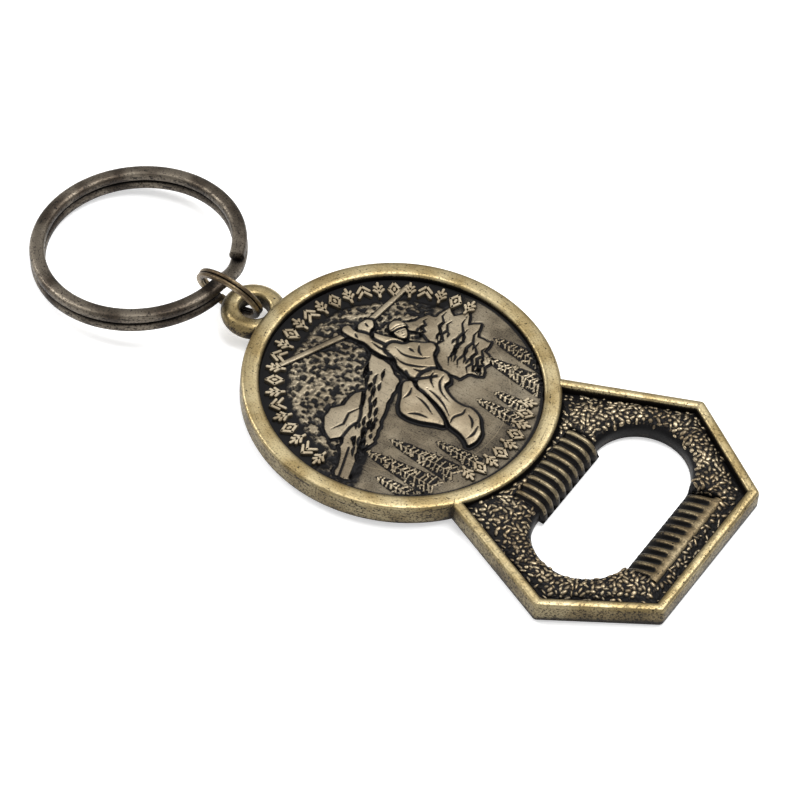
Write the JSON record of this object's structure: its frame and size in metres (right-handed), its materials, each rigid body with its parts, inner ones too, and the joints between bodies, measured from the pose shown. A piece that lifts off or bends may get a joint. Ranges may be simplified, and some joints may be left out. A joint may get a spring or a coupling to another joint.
{
  "type": "souvenir bottle opener",
  "caption": "Pocket bottle opener of cast metal with a round struck medallion, a hexagonal frame round a ribbed cap mouth, and a split key ring held by a small link ring.",
  "frame": {"origin": "centre of the round medallion on the flat back face", "axes": "+X towards the opener's flat end, +Z out of the decorated face, lug and rings towards -X"},
  "size_m": [0.0982, 0.04, 0.0093],
  "materials": {
    "cast_body": "antique brass plating, polished on the rims and dark in the recesses",
    "struck_medallion": "antique brass with dark recesses and satin raised relief",
    "link_wire": "antique brass plated wire",
    "key_wire": "dark antique bronze plated wire, rubbed bright on its crown"
  },
  "bodies": {
    "opener": {"opener_body": "cast_body", "medallion": "struck_medallion"},
    "link": {"link_ring": "link_wire"},
    "key": {"key_ring": "key_wire"}
  },
  "joints": [
    {"name": "link_swing", "type": "hinge", "parent": "opener", "child": "link", "pos_m": [-0.02495, 0, 0.00145], "axis": [0, -0.9397, -0.342], "range_deg": [-15, 90]},
    {"name": "key_swing", "type": "hinge", "parent": "link", "child": "key", "pos_m": [-0.02672, 0, 0.00356], "axis": [0, -1, 0], "range_deg": [-150, 45]}
  ]
}
